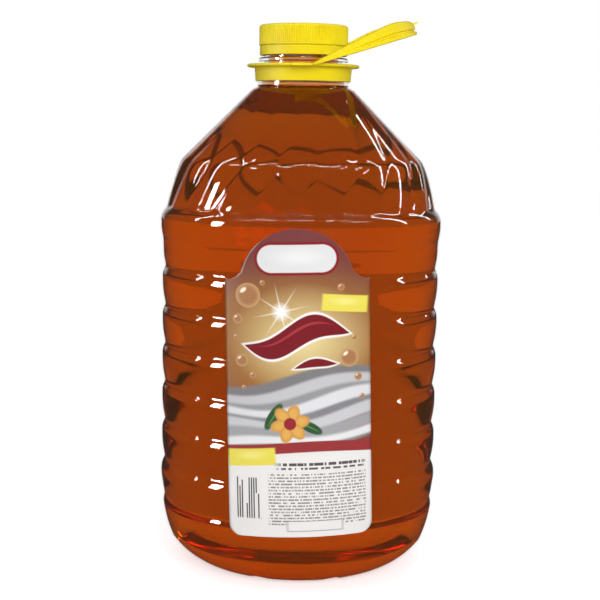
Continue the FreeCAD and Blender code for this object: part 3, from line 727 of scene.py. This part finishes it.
# Printed film: every motif is laid on the ground colour by its place in millimetres,
# across from the label's middle and up from the floor, under a satin lacquer.
label_print, tree, output = new_material("printed_polypropylene_label")
place = add(tree, "ShaderNodeUVMap", settings={"uv_map": "print"})
mm = add(tree, "ShaderNodeMapping", {"Vector": place.outputs["UV"]},
         Location=(-UV_SPAN / 2, 0, 0), Scale=(UV_SPAN, UV_SPAN, 1))
parts = add(tree, "ShaderNodeSeparateXYZ", {"Vector": mm.outputs[0]})
across, up = parts.outputs["X"], parts.outputs["Y"]


def cover(colour, mask, code):
    """The print so far with an ink laid on where the mask is 1."""
    return add(tree, "ShaderNodeMix", {"Factor": mask, 6: colour, 7: linear(code)},
               {"data_type": "RGBA"}).outputs[2]


def patch(spot, radii, edge=0.25, turn=0.0, box=False, strength=1.0):
    """Mask of an ellipse or a box."""
    local = add(tree, "ShaderNodeMapping", {"Vector": mm.outputs[0]}, {"vector_type": "TEXTURE"},
                Location=(spot[0], spot[1], 0), Rotation=(0, 0, math.radians(turn)),
                Scale=(radii[0], radii[1], 1))
    if box:
        size = add(tree, "ShaderNodeVectorMath", {0: local.outputs[0]}, {"operation": "ABSOLUTE"})
        sides = add(tree, "ShaderNodeSeparateXYZ", {"Vector": size.outputs[0]})
        far = add(tree, "ShaderNodeMath", {0: sides.outputs["X"], 1: sides.outputs["Y"]},
                  {"operation": "MAXIMUM"}).outputs[0]
    else:
        far = add(tree, "ShaderNodeVectorMath", {0: local.outputs[0]},
                  {"operation": "LENGTH"}).outputs["Value"]
    soft = edge / min(radii)
    return add(tree, "ShaderNodeMapRange", {"Value": far}, From_Min=1 - soft,
               From_Max=1 + soft, To_Min=strength, To_Max=0.0).outputs[0]


def ribbon(base, half, span, slope=0.0, swing=0.0, period=10.0, phase=0.0, edge=0.25,
           taper=True):
    """Mask of a waved band that runs across, pointed at both ends if tapered."""
    turn = add(tree, "ShaderNodeMath", {0: across, 1: 1 / period, 2: phase},
               {"operation": "MULTIPLY_ADD"})
    wave = add(tree, "ShaderNodeMath", {0: turn.outputs[0]}, {"operation": "SINE"})
    level = add(tree, "ShaderNodeMath", {0: wave.outputs[0], 1: swing, 2: base},
                {"operation": "MULTIPLY_ADD"})
    level = add(tree, "ShaderNodeMath", {0: across, 1: slope, 2: level.outputs[0]},
                {"operation": "MULTIPLY_ADD"})
    off = add(tree, "ShaderNodeMath", {0: up, 1: level.outputs[0]}, {"operation": "SUBTRACT"})
    off = add(tree, "ShaderNodeMath", {0: off.outputs[0]}, {"operation": "ABSOLUTE"})
    along_it = add(tree, "ShaderNodeMapRange", {"Value": across}, From_Min=span[0],
                   From_Max=span[1], To_Min=-1.0, To_Max=1.0)
    square = add(tree, "ShaderNodeMath", {0: along_it.outputs[0], 1: 2.0 if taper else 30.0},
                 {"operation": "POWER"})
    left = add(tree, "ShaderNodeMath", {0: 1.0, 1: square.outputs[0]}, {"operation": "SUBTRACT"})
    width = add(tree, "ShaderNodeMath", {0: left.outputs[0], 1: half}, {"operation": "MULTIPLY"})
    over = add(tree, "ShaderNodeMath", {0: off.outputs[0], 1: width.outputs[0]},
               {"operation": "SUBTRACT"})
    return add(tree, "ShaderNodeMapRange", {"Value": over.outputs[0]}, From_Min=-2 * edge,
               From_Max=0.0, To_Min=1.0, To_Max=0.0).outputs[0]


def broken(mask, pitch, fullness, stretch, upright=False):
    """The mask cut into rows of short bars, like small print seen from afar."""
    main, other = (across, up) if upright else (up, across)
    rows = add(tree, "ShaderNodeMath", {0: main, 1: 1 / pitch}, {"operation": "MULTIPLY"})
    row = add(tree, "ShaderNodeMath", {0: rows.outputs[0]}, {"operation": "FLOOR"})
    part = add(tree, "ShaderNodeMath", {0: rows.outputs[0]}, {"operation": "FRACT"})
    inked = add(tree, "ShaderNodeMath", {0: part.outputs[0], 1: fullness},
                {"operation": "LESS_THAN"})
    spot = add(tree, "ShaderNodeCombineXYZ", {"X": other, "Y": row.outputs[0]})
    stretched = add(tree, "ShaderNodeVectorMath", {0: spot.outputs[0], 1: (stretch, 7.31, 1.0)},
                    {"operation": "MULTIPLY"})
    words = add(tree, "ShaderNodeTexNoise", {"Vector": stretched.outputs[0]},
                Scale=1.0, Detail=1.0)
    word = add(tree, "ShaderNodeMath", {0: words.outputs["Fac"], 1: 0.46},
               {"operation": "GREATER_THAN"})
    both = add(tree, "ShaderNodeMath", {0: inked.outputs[0], 1: word.outputs[0]},
               {"operation": "MULTIPLY"})
    return add(tree, "ShaderNodeMath", {0: both.outputs[0], 1: mask},
               {"operation": "MULTIPLY"}).outputs[0]


ground = add(tree, "ShaderNodeValToRGB")
tree.links.new(add(tree, "ShaderNodeMapRange", {"Value": up}, From_Min=LABEL_BOTTOM,
                   From_Max=LABEL_TOP).outputs[0], ground.inputs["Fac"])
stops = ground.color_ramp.elements
stops[0].position, stops[0].color = 0.0, linear("#e9e6e4")
stops[1].position, stops[1].color = 1.0, linear("#7a3a3c")
for position, code in ((0.28, "#e9e6e4"), (0.30, "#8a4538"), (0.45, "#8c4a33"), (0.62, "#9a6238"),
                       (0.76, "#96603a"), (0.86, "#7d4038")):
    stop = stops.new(position)
    stop.color = linear(code)
colour = ground.outputs["Color"]

# Gold glow and its bright middle
colour = cover(colour, patch((0, 138), (35, 34), edge=25, strength=0.6), "#b98a35")
colour = cover(colour, patch((3, 145), (22, 17), edge=15, strength=0.85), "#eddda0")
for turn in (12, 57, 102, 147):
    colour = cover(colour, patch((-9, 161), (10, 0.35), turn=turn, strength=0.8), "#fbf5e4")
colour = cover(colour, patch((-9, 161), (3.2, 3.2), edge=2.6), "#ffffff")

# Silver waves
for base, half, swing, code in ((118, 8.5, 3.5, "#7f7d7f"), (115, 6.5, 3.6, "#c3c2c4"),
                                (112, 4.0, 3.2, "#98979a"), (108, 4.8, 3.8, "#dcdcde"),
                                (104, 3.4, 3.0, "#86858a"), (100, 4.4, 3.4, "#c9c8cb"),
                                (95, 4.2, 2.6, "#a3a2a5"), (90, 3.6, 2.2, "#e3e3e4"),
                                (87.6, 1.6, 1.6, "#77767a")):
    colour = cover(colour, ribbon(base, half, (-70, 62), slope=0.10, swing=swing, period=15.0,
                                  phase=base / 9, edge=0.9, taper=False), code)
colour = cover(colour, ribbon(84.6, 3.2, (-80, 80), swing=1.6, period=19.0, phase=1.0,
                              taper=False), "#9c3436")

# Crimson ribbon with a white edge, and a short one under it
colour = cover(colour, ribbon(147, 9.6, (-32, 31), slope=0.14, swing=4.4, period=8.5,
                              phase=0.4, edge=0.5), "#f4f1ee")
colour = cover(colour, ribbon(147, 7.9, (-30, 29), slope=0.14, swing=4.4, period=8.5,
                              phase=0.4), "#7e1420")
colour = cover(colour, ribbon(149, 1.1, (-24, 22), slope=0.14, swing=4.4, period=8.5,
                              phase=0.5), "#a8343c")
colour = cover(colour, ribbon(130.5, 3.7, (-5, 24), slope=0.12, swing=1.2, period=5.0,
                              edge=0.4), "#f2eee8")
colour = cover(colour, ribbon(130.5, 2.6, (-3, 22), slope=0.12, swing=1.2, period=5.0), "#7e1420")

# Plate with round ends and a dark rim
for grow, code in ((1.5, "#8c1820"), (0.0, "#dedddd")):
    colour = cover(colour, patch((0, 190), (14, 7.6 + grow), box=True), code)
    for side in (-14, 14):
        colour = cover(colour, patch((side, 190), (7.6 + grow, 7.6 + grow)), code)
colour = cover(colour, patch((0, 191), (10, 3), edge=2.6, strength=0.6), "#f1f1f1")

# Soap bubbles and drops
for spot, radius in (((-27, 170), 6.8), ((-33, 157), 2.6), ((28, 135), 5.2), ((33, 124), 2.2),
                     ((-31, 134), 3.4), ((-25, 126), 1.7), ((31, 146), 1.6), ((-34, 147), 1.3),
                     ((24, 174), 1.9), ((-19, 177), 1.4), ((35, 113), 1.5), ((-30, 119), 1.2)):
    colour = cover(colour, patch(spot, (radius, radius), strength=0.75), "#d9b27c")
    colour = cover(colour, patch(spot, (radius * 0.86, radius * 0.86), edge=radius * 0.25,
                                 strength=0.8), "#a0663f")
    glint = (spot[0] - radius * 0.38, spot[1] + radius * 0.42)
    colour = cover(colour, patch(glint, (radius * 0.3, radius * 0.16), turn=38), "#f6ead2")

# Blank yellow ribbons
for spot, radii, turn in (((26, 165), (12.5, 4.6), -5), ((-26.5, 80), (13.2, 4.8), 4)):
    colour = cover(colour, patch(spot, radii, turn=turn, box=True), "#e8da54")
    colour = cover(colour, patch((spot[0], spot[1] + 1), (6, 1.6), edge=1.3,
                                 turn=turn, strength=0.7), "#f3ea92")

# Blossom with leaves
for spot, radii, turn in (((-14, 103), (8.5, 3.0), 58), ((6, 97), (7.5, 2.8), -28)):
    colour = cover(colour, patch(spot, radii, turn=turn), "#2f5a36")
    colour = cover(colour, patch(spot, (radii[0] * 0.55, 0.3), turn=turn), "#6f9a62")
for petal in range(6):
    angle = math.radians(60 * petal + 12)
    spot = (-5 + 5.6 * math.cos(angle), 99 + 5.6 * math.sin(angle))
    colour = cover(colour, patch(spot, (5.2, 3.5), turn=60 * petal + 12), "#c98a3c")
    colour = cover(colour, patch(spot, (4.5, 2.8), turn=60 * petal + 12, edge=1.2), "#e0ab55")
colour = cover(colour, patch((-5, 99), (3.4, 3.4)), "#9c2430")

# Small print as plain bars, a block of stripes and an empty frame
colour = cover(colour, broken(patch((12, 75.5), (24, 2.2), box=True), 2.6, 0.62, 0.55), "#5c5152")
colour = cover(colour, broken(patch((9.5, 56.5), (27, 15.2), box=True), 1.75, 0.5, 1.1), "#8d8886")
colour = cover(colour, broken(patch((-28.5, 57), (7.0, 11.5), box=True), 1.3, 0.55, 0.02,
                              upright=True), "#4a4648")
colour = cover(colour, patch((8, 41.3), (15.5, 3.1), edge=0.15, box=True), "#8a8584")
colour = cover(colour, patch((8, 41.3), (15.1, 2.7), edge=0.15, box=True), "#eae7e5")
tree.links.new(add(tree, "ShaderNodeBsdfPrincipled", {"Base Color": colour}, Roughness=0.35,
                   IOR=1.5, Coat_Weight=0.2, Coat_Roughness=0.12).outputs[0],
               output.inputs["Surface"])
front_film = finished(bm, "front_film", label_print)
thickness = front_film.modifiers.new("film", "SOLIDIFY")
thickness.thickness = LABEL_THICKNESS * MM
thickness.offset = -1
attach(front_film, "bottle")
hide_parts("front_label")


# Studio
# A white floor that runs out to a white surround, a paned window at the left,
# thin strip lights overhead, and the camera where the photograph was taken.

FLOOR_LIFT = 0.6
FLOOR_MIRRORED = 0.06

# Matt white paint, lit a little of its own so that it ends in the white surround.
floor_paint, tree, output = new_material("white_floor")
rays = add(tree, "ShaderNodeLightPath")
seen = add(tree, "ShaderNodeMath", {0: rays.outputs["Is Camera Ray"],
                                    1: rays.outputs["Is Transmission Ray"]},
           {"operation": "MAXIMUM"})
lift = add(tree, "ShaderNodeMath", {0: seen.outputs[0], 1: FLOOR_LIFT}, {"operation": "MULTIPLY"})
mirrored = add(tree, "ShaderNodeMapRange", {"Value": rays.outputs["Is Glossy Ray"]},
               To_Min=0.8, To_Max=FLOOR_MIRRORED)
paint = add(tree, "ShaderNodeBsdfDiffuse", {"Color": mirrored.outputs[0]})
glow = add(tree, "ShaderNodeEmission", {"Strength": lift.outputs[0]}, Color=(1, 1, 1, 1))
both = add(tree, "ShaderNodeAddShader", {0: paint.outputs[0], 1: glow.outputs[0]})
tree.links.new(both.outputs[0], output.inputs["Surface"])
bm = bmesh.new()
bmesh.ops.create_circle(bm, cap_ends=True, radius=6.0, segments=96)
mesh = bpy.data.meshes.new("floor")
bm.to_mesh(mesh)
bm.free()
mesh.materials.append(floor_paint)
floor = bpy.data.objects.new("floor", mesh)
bpy.context.scene.collection.objects.link(floor)

world = bpy.data.worlds.new("surround")
bpy.context.scene.world = world
world.use_nodes = True
tree = world.node_tree
tree.nodes.clear()
output = tree.nodes.new("ShaderNodeOutputWorld")
rays = add(tree, "ShaderNodeLightPath")
way = add(tree, "ShaderNodeTexCoord")
parts = add(tree, "ShaderNodeSeparateXYZ", {"Vector": way.outputs["Generated"]})
behind = add(tree, "ShaderNodeMapRange", {"Value": parts.outputs["Y"]},
             From_Min=0.84, From_Max=0.96)
mirrored = add(tree, "ShaderNodeMath", {0: rays.outputs["Is Glossy Ray"], 1: behind.outputs[0]},
               {"operation": "MULTIPLY"})
seen = add(tree, "ShaderNodeMath", {0: rays.outputs["Is Camera Ray"],
                                    1: rays.outputs["Is Transmission Ray"]},
           {"operation": "MAXIMUM"})
seen = add(tree, "ShaderNodeMath", {0: seen.outputs[0], 1: mirrored.outputs[0]},
           {"operation": "MAXIMUM"})
dim = add(tree, "ShaderNodeMapRange", {"Value": rays.outputs["Is Glossy Ray"]},
          To_Min=0.5, To_Max=0.05)
level = add(tree, "ShaderNodeMix", {"Factor": seen.outputs[0], "A": dim.outputs[0]}, B=1.0)
light = add(tree, "ShaderNodeBackground", {"Strength": level.outputs[0]}, Color=(1, 1, 1, 1))
tree.links.new(light.outputs[0], output.inputs["Surface"])

BOTTLE_MIDDLE = Vector((0, 0, 0.16))


def lamp(name, spot, size, power, target=BOTTLE_MIDDLE, roll=0.0):
    """A white area light that faces the bottle and shows only as a glint in it."""
    data = bpy.data.lights.new(name, "AREA")
    data.shape = "RECTANGLE"
    data.size, data.size_y = size
    data.energy = power
    item = bpy.data.objects.new(name, data)
    turn = (Vector(target) - Vector(spot)).to_track_quat("-Z", "Y").to_matrix().to_4x4()
    item.matrix_world = Matrix.Translation(spot) @ turn @ Matrix.Rotation(roll, 4, "Z")
    item.visible_diffuse = False
    bpy.context.scene.collection.objects.link(item)
    return item


for number in range(4):
    lamp("window_bar_%d" % (number + 1), (-1.42, -0.42 - 0.07 * number, 0.32), (0.04, 0.36), 2.6)
lamp("window_pane", (-1.42, -0.53, 0.62), (0.28, 0.24), 6.0)
for number in range(5):
    lamp("tube_%d" % (number + 1), (0.56 * (number - 2), -0.76, 1.36), (0.40, 0.022), 0.75)
lamp("left_strip", (-1.25, 0.10, 1.15), (0.035, 1.4), 6.0)
lamp("right_strip", (1.25, 0.10, 1.15), (0.035, 1.4), 6.0)
lamp("back_strip", (1.05, 0.95, 0.95), (0.03, 1.1), 1.6)
fill = lamp("fill", (0.3, -2.0, 0.9), (1.2, 0.9), 30.0)
fill.visible_diffuse = True
fill.visible_glossy = False

CAMERA_SPOT = (0.0001, -0.880, 0.262)
CAMERA_PITCH = 6.754
CAMERA_ROLL = 0.85
LENS = 88.7
camera_data = bpy.data.cameras.new("camera")
camera_data.lens = LENS
camera_data.sensor_width = 36.0
camera = bpy.data.objects.new("camera", camera_data)
camera.matrix_world = (Matrix.Translation(CAMERA_SPOT)
                       @ Matrix.Rotation(math.radians(90 - CAMERA_PITCH), 4, "X")
                       @ Matrix.Rotation(math.radians(CAMERA_ROLL), 4, "Z"))
bpy.context.scene.collection.objects.link(camera)
bpy.context.scene.camera = camera
bpy.context.scene.view_settings.view_transform = "Standard"
